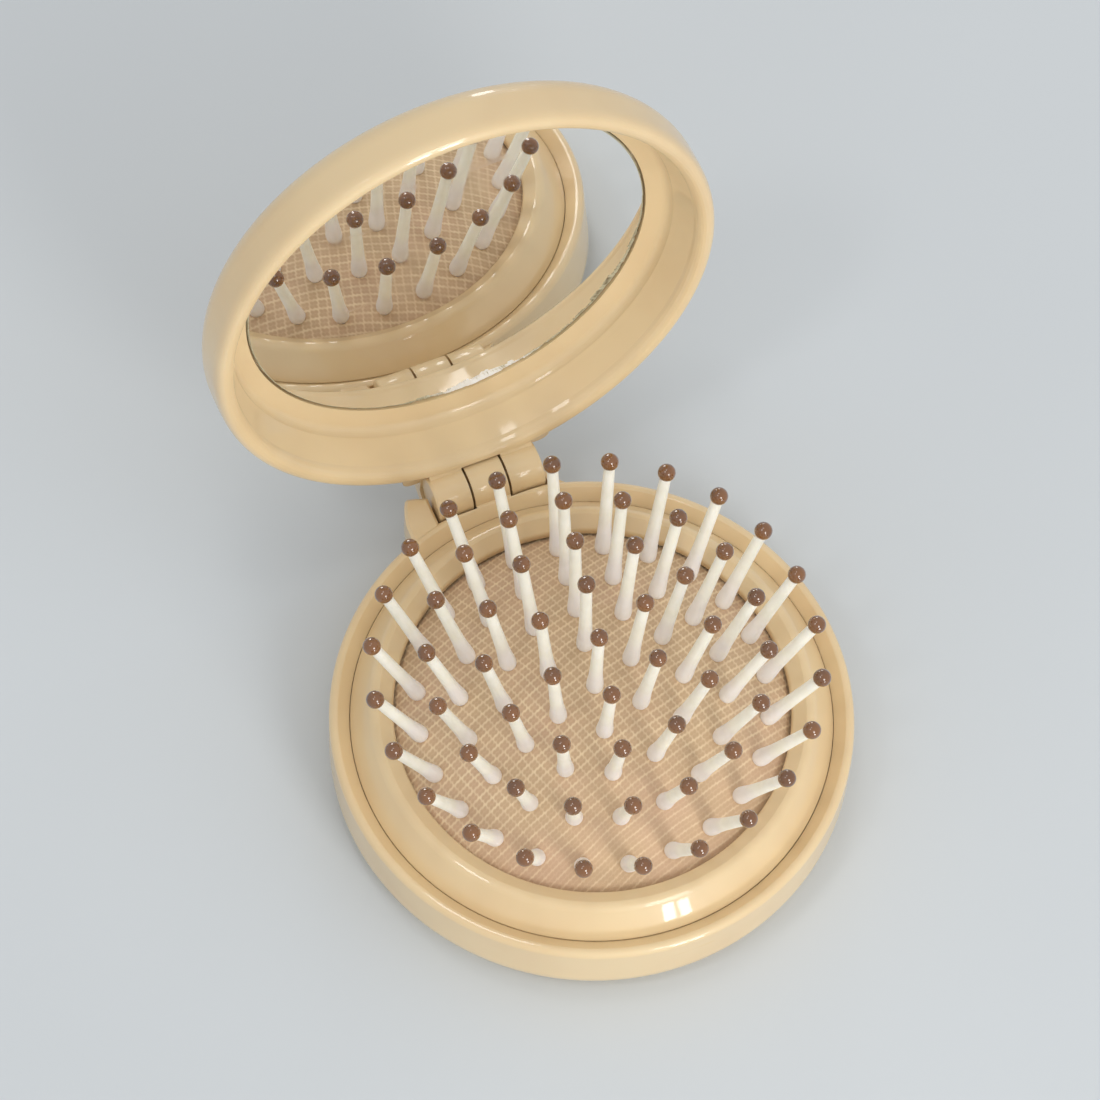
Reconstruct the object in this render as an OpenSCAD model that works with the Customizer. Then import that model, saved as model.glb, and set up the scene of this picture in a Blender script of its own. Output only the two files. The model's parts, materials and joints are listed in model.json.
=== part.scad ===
// Folding pop-up hairbrush with a mirror in its lid.
// It stands open: the lid leans on its stop behind the hinge and the pins are popped up.
// Origin: centre of the base's underside. +Z is up, the hinge is at +Y, the brush's front is at -Y.

/* [Case] */
// Outer diameter of the base
case_d = 72; // [70:0.5:80]
// Height of the base's rim
base_h = 11.8; // [11.5:0.1:14]
// Thickness of the base's floor
floor_t = 1.2; // [0.8:0.1:2]
// Width of the base's rim, from its wall to the ring's foot
rim_w = 2.8; // [2.4:0.1:3.4]
// Radius of the base's lower edge
foot_round = 4.2; // [2:0.1:5]
// Rounding of the base's rim
rim_round = 0.9; // [0.4:0.1:1.2]
// How far the groove inside the rim lies below the rim
groove_drop = 1.4; // [0.8:0.1:1.8]
// Thickness of the inner wall that carries the cushion
seat_w = 1.8; // [1.2:0.1:2.2]
// How far the cushion's seat lies below the rim
seat_drop = 2.3; // [1.9:0.1:3]
// Number of ribs between the base's two walls
rib_count = 12; // [6:1:24]
// Thickness of one rib
rib_t = 1.2; // [0.8:0.1:2]
// Diameter of the finger hole in the underside
finger_d = 20.4; // [16:0.2:20.6]

/* [Cushion ring] */
// Width of the ring, from its foot to its mouth
ring_w = 5.9; // [5:0.1:6.5]
// How far the ring's edge stands above the base's rim
ring_rise = 3; // [2:0.1:4]
// Width of the lip that slopes down inside the edge
lip_w = 2.6; // [1.8:0.1:3.2]
// How far the lip slopes down
lip_drop = 1.1; // [0.4:0.1:1.8]
// Thickness of the lip at the mouth
lip_t = 1.3; // [0.8:0.1:1.6]
// Depth of the ring's skirt below the cushion's flange
skirt_depth = 1.5; // [1:0.1:2.5]
// Thickness of the ring's skirt
skirt_t = 1.6; // [1:0.1:1.8]
// How far the snap bead stands out of the skirt
bead_out = 0.2; // [0.1:0.05:0.3]

/* [Cushion] */
// Radius of the dome's outer face
dome_r = 49; // [44:0.5:60]
// Thickness of the rubber
rubber_t = 0.8; // [0.6:0.05:0.9]
// Gap between the dome and the ring's lip
edge_gap = 0.44; // [0.2:0.02:0.8]
// Width of the flange that the ring holds down
flange_w = 1.9; // [1.2:0.1:2]

/* [Pins] */
// Length of a pin, from the rubber to the middle of its ball
pin_len = 15.6; // [12:0.1:17]
// Diameter of a pin's shaft where it leaves its root
pin_d = 1.8; // [1.4:0.05:2]
// Diameter of a pin's shaft at its ball
pin_end_d = 1.6; // [1.2:0.05:1.8]
// Diameter of a ball tip
ball_d = 2.5; // [2:0.1:2.9]
// Diameter of the swollen root
root_d = 2.6; // [2.2:0.1:3]
// Height of the swollen root
root_h = 3.2; // [2:0.1:4]
// Diameter of the neck that passes through the rubber
neck_d = 1.8; // [1.2:0.1:2]
// Diameter of the head under the rubber
head_d = 3; // [2.4:0.1:3.2]
// Thickness of the head under the rubber
head_t = 0.5; // [0.3:0.05:0.8]
// Radius of the first ring of pins
first_ring_r = 6.5; // [6:0.1:6.8]
// Distance from the outermost ring of pins to the ring's mouth
mouth_margin = 3.45; // [3.2:0.05:4]
// Angle that the cushion's pin pattern is turned by
pad_angle = 78.7; // [0:0.1:90]
// Share of the dome's slope that the pins lean with
lean_share = 0.86; // [0.6:0.01:1]

/* [Push button] */
// Side gap of the push button in the finger hole
button_gap = 0.6; // [0.3:0.1:1]
// How far the shut button lies inside the underside
button_recess = 0.3; // [0.1:0.1:0.6]
// Depth of the finger's hollow in the button
button_dish = 0.5; // [0.2:0.1:0.7]

/* [Lid] */
// Opening angle of the lid
open_angle = 99.2; // [60:0.1:105]
// Gap between the base's rim and the shut lid
lid_gap = 0.3; // [0.2:0.05:0.6]
// How far the lid's widest line stands out past the base
lid_bulge = 0.3; // [0:0.05:0.6]
// Width of the lid's rounded rim
lid_rim_w = 2.8; // [2.2:0.1:3.2]
// Height from the rim's lowest line to its widest line
lid_rim_h = 2.2; // [1.6:0.1:2.6]
// Height from the rim's lowest line to its inner edge
lid_inner_h = 1.8; // [1.2:0.1:2.2]
// Diameter of the mirror
mirror_d = 57.8; // [54:0.2:60]
// Thickness of the mirror
mirror_t = 1; // [0.8:0.1:1.5]
// Thickness of the film that holds the mirror
film_t = 0.2; // [0.1:0.05:0.4]
// Wall behind the mirror's edge
back_t = 0.55; // [0.5:0.05:1.5]
// Radius of the lid's back edge
back_edge_r = 4.6; // [3:0.1:5]
// Slope of the crowned back at its edge
crown_slope = 8; // [4:0.5:10]
// Gap between the shut pins and the mirror
tip_gap = 0.3; // [0.2:0.05:1]

/* [Hinge] */
// How far the hinge's axis lies outside the base
hinge_out = 2.7; // [2.6:0.1:4]
// How far the hinge's axis lies below the base's rim
hinge_drop = 0.5; // [0.3:0.1:1]
// Diameter of the knuckles
barrel_d = 7; // [6:0.1:7.2]
// Diameter of the steel pin
steel_d = 2; // [1.5:0.1:2.4]
// Width of the base's knuckle in the middle
middle_w = 5.5; // [4.5:0.1:7]
// Width of each of the lid's two knuckles
knuckle_w = 5.25; // [4.5:0.05:7]
// Side gap between two knuckles
side_gap = 0.35; // [0.15:0.05:0.4]
// Gap round a knuckle in its slot
slot_gap = 0.35; // [0.25:0.05:0.5]
// How far the stop shelf reaches behind the hinge's axis
stop_out = 5; // [4.4:0.1:6]
// How far the stop shelf lies below the hinge's axis
stop_drop = 2.2; // [1.8:0.1:2.6]
// Half the width of the lid's block over the knuckles
block_x = 11; // [9.8:0.1:11.4]
// Rounding of the block's lower corners
block_corner_r = 1.5; // [0.5:0.1:2]
// Half the distance between the outer sides of the base's two lugs
lug_x = 11.6; // [10:0.1:12]
// Height of the left lug above the hinge's axis
lug_rise = 0.3; // [0:0.1:1]

/* [Hidden] */
$fn = 72;

// Clearances
running_gap = 0.06;   // round the steel pin in the lid's knuckles
held_gap = 0.03;      // round the steel pin in the base's knuckles
ring_gap = 0.1;       // round the ring's skirt
socket_gap = 0.03;    // between a pin's end and its ball
hole_gap = 0.12;      // round a pin's neck in the rubber
head_seat = 0.15;     // between the rubber and a head
root_seat = 0.15;     // between the rubber and a swollen root
pad_gap = 0.1;        // between the floor and the lowest head when shut
lean_room = 0.5;      // extra sink of the pins at a group's sides when shut
button_seat = 0.12;   // between the rubber and the button
stop_gap = 0.1;       // between the open lid and its stop
mirror_gap = 0.25;    // round the mirror
mirror_proud = 0.1;   // the mirror's face above the lid's inner slope
fuse = 0.4;           // overlap of two shapes of one moulding

// Base
case_r = case_d / 2;
finger_r = finger_d / 2;
groove_r = case_r - rim_w;
ring_r = groove_r - ring_gap;
seat_z = base_h - seat_drop;
skirt_z = seat_z - skirt_depth + rubber_t;
skirt_in_r = ring_r - skirt_t;
wall_out_r = skirt_in_r - ring_gap;
wall_in_r = wall_out_r - seat_w;
channel_gap = 0.1;
edge_chamfer = 0.6;
rim_end_angle = 110;    // where the rim's rounding meets the groove's slope
bead_h = 0.6;
bead_z = skirt_z + bead_h;

// Ring and dome
mouth_r = ring_r - ring_w;
ring_top_z = base_h + ring_rise;
lip_z = ring_top_z - lip_drop;
flange_top_z = seat_z + rubber_t;
dome_z = lip_z - lip_t - edge_gap - sqrt(dome_r * dome_r - mouth_r * mouth_r);
dome_top = dome_z + dome_r;
dome_under_lip = 1.2;   // how far the dome runs on under the lip
dome_edge_r = mouth_r + dome_under_lip;
flange_gap = 0.1;
flange_out_r = wall_out_r - flange_gap;
flange_in_r = flange_out_r - flange_w;
edge_bend = 1;          // rounding of the ring's edge
mouth_bend = 0.5;       // rounding of the lip at the mouth
lip_foot_w = 1.6;       // width of the lip's flat underside
lip_foot_rise = 0.3;
lip_shoulder = 1.2;     // height of the lip's underside over the flange, at the seat's wall

// Pins
RING_COUNTS = [1, 6, 12, 18, 24];
LAST_RING = len(RING_COUNTS) - 1;
ring_pitch = (mouth_r - mouth_margin - first_ring_r) / (LAST_RING - 1);
shut_root_z = floor_t + pad_gap + lean_room + head_t + head_seat + rubber_t;
sink = dome_top - shut_root_z;
socket_share = 0.45;
socket_depth = socket_share * ball_d;
root_swell = 0.4;       // how far the root's widest line stands out of its foot
root_belly_share = 0.45;

// Push button, clear of the heads in the second ring of pins
button_r = min(finger_r, pin_ring_r(2) - head_d / 2) - button_gap;
button_z = sink + button_recess;
button_top_r = dome_r - rubber_t - button_seat;
head_room = 0.25;

// Lid, in its shut place
lid_z = base_h + lid_gap;
lid_r = case_r + lid_bulge;
lid_inner_r = lid_r - lid_rim_w;
crest_share = 0.45;
lid_crest_r = lid_r - crest_share * lid_rim_w;
mirror_z = shut_root_z + pin_len + ball_d / 2 + tip_gap;
mirror_r = mirror_d / 2;
pocket_r = mirror_r + mirror_gap;
pocket_z = mirror_z + mirror_t + film_t;
film_inset = 1.2;
cove_inset = 1.3;       // from the rim's inner edge to the cove
cove_rise = 1.7;        // height of the cove
cove_sag = 0.3;         // how far the cove bends below the slope's edge
slope_w = 1.9;          // width of the slope round the mirror
slope_rise = 0.7;       // height of that slope
inner_flare = 0.2;      // how far the rim bends out below its inner edge
cove_r = lid_inner_r - cove_inset;
slope_in_z = mirror_z - mirror_proud;
slope_out_z = slope_in_z - slope_rise;
slope_out_r = pocket_r + slope_w;
cove_z = slope_out_z - cove_rise;
crown_angle = 90 - crown_slope;
crown_edge_r = lid_r - back_edge_r * (1 - cos(crown_angle));
crown_r = crown_edge_r / sin(crown_slope);
crown_edge_z = pocket_z + back_t + sqrt(crown_r * crown_r - crown_edge_r * crown_edge_r)
    - sqrt(crown_r * crown_r - pocket_r * pocket_r);
back_edge_z = crown_edge_z - back_edge_r * sin(crown_angle);

// Hinge
hinge_y = case_r + hinge_out;
hinge_z = base_h - hinge_drop;
barrel_r = barrel_d / 2;
slot_r = barrel_r + slot_gap;
steel_r = steel_d / 2;
middle_x = middle_w / 2;
knuckle_x = middle_x + knuckle_w;
knuckle_round = 0.35;   // rounding of the knuckles' outer ends
side_x = knuckle_x + side_gap;
blind_wall = 1.2;
steel_end_gap = 0.2;
steel_chamfer = 0.25;
shelf_z = -stop_drop;
stop_w = 1.9;           // width of the block's landing on the shelf
block_over = 0.8;       // how far the block reaches past the shelf
stop_in = stop_out - stop_w;
block_out = stop_out + block_over;
block_deep = 4.7;
block_side_z = 0.2;     // underside of the open block where it stands out past the shelf
back_slope = [1.2, 1];  // slope of the shut block's upper end
nose_w = 1.6;
nose_h = 1.8;
post_share = 0.75;      // half the width of the middle post, as a share of the barrel's radius
throat_share = 0.98;    // where the lid's knuckle leaves its web, as a share of the radius
throat_z = 0.6;
web_y = -6;
lid_block_low = 1.8;
lid_block_high = 8.2;
front_reach = 12;       // long enough to pass right through the block
lug_low = -5.5;         // underside of the lugs
lug_bevel = 0.4;
right_lug_rise = -0.3;

// Plans of the lugs: x counted inwards from lug_x, y counted from the hinge's axis
LEFT_LUG = [[lug_x - side_x, 0.4], [1.8, 0.95], [0.6, 1.3], [0.15, 1.05], [-0.25, 0.3], [-0.7, -1],
            [-1.05, -2.4], [-1.1, -4], [-1, -7], [lug_x - side_x, -7]];
RIGHT_LUG = [[lug_x - side_x, -1], [2.7, -2.3], [2, -3.2], [1.4, -3.9], [0.5, -4.7],
             [0.5, -7], [lug_x - side_x, -7]];

// Groups of pins that move together: [name, ring, pins in a group, number of groups]
GROUPS = [["inner", 2, 3, 4], ["middle", 3, 3, 6], ["outer", 4, 2, 12]];
GROUP_NODES = [
    for (g = GROUPS) for (k = [1 : g[3]]) for (what = ["pins_", "tips_"]) str(what, g[0], "_", k)
];

// Points of an arc round c, from angle a0 to angle a1
function arc(c, r, a0, a1, n = 10) =
    [for (i = [0 : n]) let (a = a0 + (a1 - a0) * i / n) [c[0] + r * cos(a), c[1] + r * sin(a)]];

// Points of a smooth bend from p to q that heads for the corner m
function bend(p, m, q, n = 8) =
    [for (i = [0 : n]) let (t = i / n) (1 - t) * (1 - t) * p + 2 * t * (1 - t) * m + t * t * q];

// A point of the hinge's side view, turned with the lid from open to shut
function shut_point(p) =
    [p[0] * cos(open_angle) - p[1] * sin(open_angle), p[0] * sin(open_angle) + p[1] * cos(open_angle)];

// Pins: place and lean of pin k in a ring
function pin_ring_r(ring) = ring == 0 ? 0 : first_ring_r + ring_pitch * (ring - 1);
function pin_root_z(ring) = dome_z + sqrt(dome_r * dome_r - pow(pin_ring_r(ring), 2));
function pin_lean(ring) = lean_share * asin(pin_ring_r(ring) / dome_r);
function pin_azimuth(ring, k) = pad_angle + 360 / RING_COUNTS[ring] * k;

module at_pin(ring, k) {
    rotate([0, 0, pin_azimuth(ring, k)])
        translate([pin_ring_r(ring), 0, pin_root_z(ring)])
            rotate([0, pin_lean(ring), 0])
                children();
}

module all_pins() {
    for (ring = [0 : LAST_RING], k = [0 : RING_COUNTS[ring] - 1])
        at_pin(ring, k) children();
}

// A side view of the hinge, from y and z counted from its axis, as a plate from x0 to x1
module hinge_plate(x0, x1) {
    translate([x0, hinge_y, hinge_z])
        rotate([90, 0, 90])
            linear_extrude(x1 - x0) children();
}

module hinge_rod(x0, x1, r) {
    translate([x0, hinge_y, hinge_z]) rotate([0, 90, 0]) cylinder(r = r, h = x1 - x0);
}

// A knuckle with its outer end rounded, on the left (side -1) or on the right (side 1)
module lid_knuckle(side) {
    x_in = middle_x + side_gap / 2;
    translate([side * x_in, hinge_y, hinge_z]) rotate([0, side * 90, 0])
        rotate_extrude() polygon(concat(
            [[0, 0], [barrel_r, 0]],
            arc([barrel_r - knuckle_round, knuckle_x - x_in - knuckle_round], knuckle_round, 0, 90, 4),
            [[0, knuckle_x - x_in]]
        ));
}

// The base's lugs beside the knuckles, the left one with a bevelled top
module left_lug() {
    plan = [for (q = LEFT_LUG) [q[0] - lug_x, q[1]]];
    hull() translate([0, hinge_y, hinge_z + lug_low]) {
        linear_extrude(lug_rise - lug_bevel - lug_low) polygon(plan);
        linear_extrude(lug_rise - lug_low) offset(delta = -lug_bevel) polygon(plan);
    }
}

module right_lug() {
    translate([0, hinge_y, hinge_z + lug_low])
        linear_extrude(right_lug_rise - lug_low)
            polygon([for (q = RIGHT_LUG) [lug_x - q[0], q[1]]]);
}

// Everything in the lid is drawn shut and turned open by this
module opened() {
    translate([0, hinge_y, hinge_z])
        rotate([-open_angle, 0, 0])
            translate([0, -hinge_y, -hinge_z])
                children();
}

module base_cup() {
    rotate_extrude($fn = 144) polygon(concat(
        [[finger_r, edge_chamfer], [finger_r + edge_chamfer, 0]],
        arc([case_r - foot_round, foot_round], foot_round, -90, 0),
        arc([case_r - rim_round, base_h - rim_round], rim_round, 0, rim_end_angle),
        [[groove_r, base_h - groove_drop],
         [groove_r, bead_z + bead_h / 2],
         [groove_r + bead_out, bead_z],
         [groove_r, bead_z - bead_h / 2],
         [groove_r, floor_t],
         [wall_out_r, floor_t],
         [wall_out_r, seat_z],
         [wall_in_r, seat_z],
         [wall_in_r, floor_t],
         [finger_r, floor_t]]
    ));
}

module base_ribs() {
    for (k = [0 : rib_count - 1])
        rotate([0, 0, 360 / rib_count * (k + 0.5)])
            translate([wall_out_r - fuse, -rib_t / 2, floor_t - fuse])
                cube([groove_r - wall_out_r + 2 * fuse, rib_t, skirt_z - channel_gap - floor_t + fuse]);
}

// The block with the middle knuckle, the stop shelf and the lugs
module base_hinge() {
    post_x = middle_x - side_gap / 2;
    difference() {
        union() {
            hinge_plate(-side_x, side_x) polygon([
                [web_y, shelf_z - block_deep], [stop_out - nose_w, shelf_z - nose_h - nose_w / 2],
                [stop_out, shelf_z - nose_h], [stop_out, shelf_z], [web_y, shelf_z]
            ]);
            hinge_rod(-post_x, post_x, barrel_r);
            hinge_plate(-post_x, post_x) polygon([
                [web_y, shelf_z - fuse], [barrel_r * post_share, shelf_z - fuse],
                [barrel_r * post_share, 0], [-barrel_r * post_share, 0], [web_y, hinge_drop / 2]
            ]);
            left_lug();
            right_lug();
        }
        cylinder(r = case_r - rim_w / 2, h = 2 * base_h);
    }
}

module base_shell() {
    color("burlywood") difference() {
        union() {
            base_cup();
            base_ribs();
            base_hinge();
        }
        for (x = [[-side_x, -middle_x + side_gap / 2], [middle_x - side_gap / 2, side_x]])
            hinge_rod(x[0], x[1], slot_r);
        hinge_rod(-middle_x, middle_x, steel_r + held_gap);
    }
}

module cushion_ring() {
    edge_r = mouth_r + lip_w;
    color("burlywood") rotate_extrude($fn = 144) polygon(concat(
        [[skirt_in_r, skirt_z], [ring_r, skirt_z],
         [ring_r, bead_z - bead_h / 2], [ring_r + bead_out, bead_z], [ring_r, bead_z + bead_h / 2],
         [ring_r, base_h - groove_drop + ring_gap]],
        bend([edge_r + edge_bend, ring_top_z - edge_bend],
             [edge_r + edge_bend * 0.4, ring_top_z],
             [edge_r - edge_bend * 0.6, ring_top_z - edge_bend * 0.15]),
        bend([mouth_r + mouth_bend, lip_z + mouth_bend * 0.2],
             [mouth_r, lip_z - mouth_bend * 0.2],
             [mouth_r, lip_z - mouth_bend * 1.2], 4),
        [[mouth_r, lip_z - lip_t],
         [mouth_r + lip_foot_w, lip_z - lip_t + lip_foot_rise],
         [wall_in_r, flange_top_z + lip_shoulder],
         [wall_in_r, flange_top_z],
         [skirt_in_r, flange_top_z]]
    ));
}

module dome(r, top_cut) {
    intersection() {
        translate([0, 0, dome_z]) sphere(r = r, $fn = 160);
        cylinder(r = top_cut, h = 2 * dome_top, $fn = 144);
    }
}

function dome_face_z(r, at) = dome_z + sqrt(r * r - at * at);

module cushion() {
    inner_r = dome_r - rubber_t;
    skin = 0.15;
    in_r = dome_edge_r - 0.5;
    out_r = dome_edge_r - 0.1;
    color("tan") difference() {
        union() {
            difference() {
                dome(dome_r, dome_edge_r);
                translate([0, 0, dome_z]) sphere(r = inner_r, $fn = 160);
            }
            rotate_extrude($fn = 144) polygon([
                [in_r, dome_face_z(inner_r, in_r) + skin],
                [flange_in_r - 0.3, seat_z],
                [flange_out_r, seat_z],
                [flange_out_r, flange_top_z],
                [flange_in_r + 0.2, flange_top_z],
                [out_r, dome_face_z(dome_r, out_r) - skin]
            ]);
        }
        all_pins() translate([0, 0, -2 * rubber_t])
            cylinder(r = neck_d / 2 + hole_gap, h = 3 * rubber_t, $fn = 24);
    }
}

// A hard disc under the cushion's middle. It holds the heads of the seven middle pins.
module push_button() {
    dish_r = (button_r * button_r + button_dish * button_dish) / (2 * button_dish);
    dish_z = button_z + button_dish - dish_r;
    steps = 12;
    color("burlywood") difference() {
        rotate_extrude($fn = 144) polygon([
            for (i = [0 : steps]) let (r = button_r * i / steps) [r, dish_z + sqrt(dish_r * dish_r - r * r)],
            for (i = [steps : -1 : 0]) let (r = button_r * i / steps) [r, dome_face_z(button_top_r, r)]
        ]);
        for (ring = [0, 1], k = [0 : RING_COUNTS[ring] - 1])
            at_pin(ring, k)
                translate([0, 0, -rubber_t - head_seat - head_t - head_room / 2])
                    cylinder(r = head_d / 2 + head_room, h = rubber_t + head_seat + head_t, $fn = 32);
    }
}

module pin() {
    end_z = pin_len - ball_d / 2 + socket_depth;
    head_z = -rubber_t - head_seat;
    foot_r = root_d / 2 - root_seat;
    rotate_extrude($fn = 24) polygon(concat(
        [[0, head_z - head_t], [head_d / 2, head_z - head_t], [head_d / 2, head_z],
         [neck_d / 2, head_z], [neck_d / 2, root_seat]],
        bend([foot_r, root_seat], [foot_r + root_swell, root_h * root_belly_share], [pin_d / 2, root_h], 5),
        [[pin_end_d / 2, end_z], [0, end_z]]
    ));
}

module tip() {
    translate([0, 0, pin_len]) difference() {
        sphere(r = ball_d / 2, $fn = 32);
        translate([0, 0, -ball_d])
            cylinder(r = pin_end_d / 2 + 2 * socket_gap,
                     h = ball_d / 2 + socket_depth + socket_gap, $fn = 24);
    }
}

module pins_centre() {
    color("ivory") for (ring = [0, 1], k = [0 : RING_COUNTS[ring] - 1]) at_pin(ring, k) pin();
}

module tips_centre() {
    color("saddlebrown") for (ring = [0, 1], k = [0 : RING_COUNTS[ring] - 1]) at_pin(ring, k) tip();
}

// Pins or tips of group k, counted from 0
module pin_group(group, k) {
    color("ivory") for (i = [0 : group[2] - 1]) at_pin(group[1], k * group[2] + i) pin();
}

module tip_group(group, k) {
    color("saddlebrown") for (i = [0 : group[2] - 1]) at_pin(group[1], k * group[2] + i) tip();
}

module hinge_pin() {
    x0 = -knuckle_x + blind_wall + steel_end_gap;
    x1 = knuckle_x - steel_end_gap;
    color("silver") translate([x0, hinge_y, hinge_z]) rotate([0, 90, 0])
        rotate_extrude($fn = 48) polygon([
            [0, 0], [steel_r - steel_chamfer, 0], [steel_r, steel_chamfer],
            [steel_r, x1 - x0 - steel_chamfer], [steel_r - steel_chamfer, x1 - x0], [0, x1 - x0]
        ]);
}

module lid_bowl() {
    rotate_extrude($fn = 144) polygon(concat(
        [[0, pocket_z], [pocket_r, pocket_z], [pocket_r, slope_in_z]],
        bend([slope_out_r, slope_out_z], [cove_r, slope_out_z - cove_sag], [cove_r, cove_z]),
        bend([lid_inner_r, lid_z + lid_inner_h], [lid_inner_r + inner_flare, lid_z], [lid_crest_r, lid_z], 6),
        bend([lid_crest_r, lid_z], [lid_r, lid_z], [lid_r, lid_z + lid_rim_h], 8),
        arc([lid_r - back_edge_r, back_edge_z], back_edge_r, 0, crown_angle, 12),
        [for (i = [9 : -1 : 0]) let (r = crown_edge_r * i / 10)
            [r, crown_edge_z + sqrt(crown_r * crown_r - r * r)
                - sqrt(crown_r * crown_r - crown_edge_r * crown_edge_r)]]
    ));
}

// Front view of the open lid's block, counted from the hinge's axis
module block_front() {
    corner = [block_x - block_corner_r, block_side_z + block_corner_r];
    low_z = 2 * shelf_z;
    polygon(concat(
        [[block_x, front_reach], [-block_x, front_reach]],
        arc([-corner[0], corner[1]], block_corner_r, 180, 270, 6),
        [[-side_x, block_side_z], [-side_x, low_z], [side_x, low_z], [side_x, block_side_z]],
        arc(corner, block_corner_r, 270, 360, 6)
    ));
}

// The block on the lid's wall. Its back face lands on the stop shelf when the lid is open.
module lid_block() {
    stop_b = shut_point([block_out, shelf_z + stop_gap]);
    intersection() {
        hinge_plate(-block_x, block_x) polygon([
            [web_y, lid_block_low], shut_point([stop_in, shelf_z + stop_gap]), stop_b,
            stop_b + [-back_slope[0], back_slope[1]], [web_y, lid_block_high]
        ]);
        translate([0, hinge_y, hinge_z]) rotate([open_angle + 90, 0, 0])
            translate([0, 0, -front_reach]) linear_extrude(2 * front_reach) block_front();
    }
}

module lid_knuckles() {
    for (s = [-1, 1]) {
        x = [middle_x + side_gap / 2, knuckle_x - knuckle_round];
        lid_knuckle(s);
        hinge_plate(s > 0 ? x[0] : -x[1], s > 0 ? x[1] : -x[0]) polygon([
            [0, 0], shut_point([stop_in, shelf_z + stop_gap]),
            [web_y, lid_block_low + fuse], [web_y, lid_block_low], [-barrel_r * throat_share, throat_z]
        ]);
    }
}

module lid_shell() {
    color("burlywood") opened() difference() {
        union() {
            lid_bowl();
            difference() {
                union() {
                    lid_block();
                    lid_knuckles();
                }
                cylinder(r = lid_r - lid_rim_w / 2, h = 2 * mirror_z);
            }
        }
        hinge_rod(-middle_x - side_gap / 2, middle_x + side_gap / 2, slot_r);
        hinge_rod(-knuckle_x + blind_wall, knuckle_x + fuse, steel_r + running_gap);
    }
}

module mirror_disc() {
    color("lightsteelblue") opened()
        translate([0, 0, mirror_z]) cylinder(r = mirror_r, h = mirror_t, $fn = 144);
}

module mirror_adhesive() {
    color("white") opened()
        translate([0, 0, mirror_z + mirror_t])
            cylinder(r = mirror_r - film_inset, h = film_t, $fn = 96);
}

base_shell();
cushion_ring();
cushion();
push_button();
hinge_pin();
lid_shell();
mirror_disc();  // mirror
mirror_adhesive();
pins_centre();
tips_centre();
for (group = GROUPS, k = [1 : group[3]]) {
    pin_group(group, k - 1);
    tip_group(group, k - 1);
}
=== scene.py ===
"""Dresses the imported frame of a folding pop-up hairbrush: case, rubber cushion, pins, mirror and hinge pin.

Every length is in metres and every place is in the frame's own axes: the origin is the middle of the base's
underside, +Z is up and the hinge lies towards +Y.
"""

import json
import math

import bpy
import numpy as np
from mathutils import Matrix, Vector


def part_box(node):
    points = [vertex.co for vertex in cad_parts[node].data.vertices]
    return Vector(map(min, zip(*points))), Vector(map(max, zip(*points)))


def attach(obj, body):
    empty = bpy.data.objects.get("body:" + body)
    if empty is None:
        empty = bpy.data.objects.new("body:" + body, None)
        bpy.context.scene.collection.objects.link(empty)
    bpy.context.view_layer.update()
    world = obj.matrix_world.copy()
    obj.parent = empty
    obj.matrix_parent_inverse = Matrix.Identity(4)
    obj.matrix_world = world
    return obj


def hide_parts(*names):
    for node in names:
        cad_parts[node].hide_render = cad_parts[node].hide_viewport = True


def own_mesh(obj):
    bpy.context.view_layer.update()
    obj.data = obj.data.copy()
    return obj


bl_info = {
    "name": "Folding Hairbrush Finish",
    "version": (1, 0, 0),
    "blender": (4, 5, 0),
    "location": "View3D > Sidebar > Hairbrush",
    "description": "Gives a folding hairbrush its plastics, its embossed rubber cushion and its mirror",
    "category": "Object",
}

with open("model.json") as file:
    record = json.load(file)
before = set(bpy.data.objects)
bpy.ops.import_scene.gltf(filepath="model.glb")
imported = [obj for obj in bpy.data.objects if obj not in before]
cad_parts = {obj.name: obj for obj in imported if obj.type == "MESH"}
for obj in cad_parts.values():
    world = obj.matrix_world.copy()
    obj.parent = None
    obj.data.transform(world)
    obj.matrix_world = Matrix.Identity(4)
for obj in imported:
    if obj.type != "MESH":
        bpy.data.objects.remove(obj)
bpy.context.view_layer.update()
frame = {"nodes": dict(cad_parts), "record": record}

# The dome of the cushion, as the frame has it
DOME_RADIUS = 0.049
DOME_CENTRE_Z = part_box("cushion")[1].z - DOME_RADIUS
DOME_EDGE_RADIUS = 0.0279
FLANGE_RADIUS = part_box("cushion")[1].x
FLANGE_LOW_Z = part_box("cushion")[0].z
RUBBER_THICKNESS = 0.0008

# The rings of pins: how many, how far from the middle, and how much of the dome's slope they lean with
PIN_RING_COUNTS = (1, 6, 12, 18, 24)
FIRST_RING_RADIUS = 0.0065
RING_PITCH = 0.00575
PIN_TURN = math.radians(78.7)
LEAN_SHARE = 0.86
NECK_HOLE_RADIUS = 0.00102
PIN_LENGTH = 0.0156

# Which pins each node holds: name, its first pin, pins in a node and number of nodes
PIN_NODES = (("pins_centre", 0, 7, 1), ("pins_inner_", 7, 3, 4), ("pins_middle_", 19, 3, 6), ("pins_outer_", 37, 2, 12))

# A pin's outline from the head under the rubber up into its ball: radius and height in millimetres
PIN_OUTLINE = (
    (0.0, -1.45), (1.44, -1.45), (1.5, -1.39), (1.5, -1.01), (1.44, -0.95), (0.9, -0.95), (0.9, 0.13), (1.02, 0.13),
    (1.11, 0.26), (1.17, 0.5), (1.2, 0.85), (1.19, 1.3), (1.15, 1.9), (1.08, 2.6), (1.01, 3.4), (0.95, 4.5),
    (0.9, 6.2), (0.86, 8.5), (0.82, 11.5), (0.79, 14.85), (0.0, 14.85),
)

# The mirror in the shut lid, and the hinge that opens it
MIRROR_RADIUS = 0.0289
MIRROR_FACE_Z = 0.0204
MIRROR_BACK_Z = 0.0214
HINGE_Y = 0.0387
HINGE_Z = 0.0113
OPEN_ANGLE = math.radians(99.2)

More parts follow.
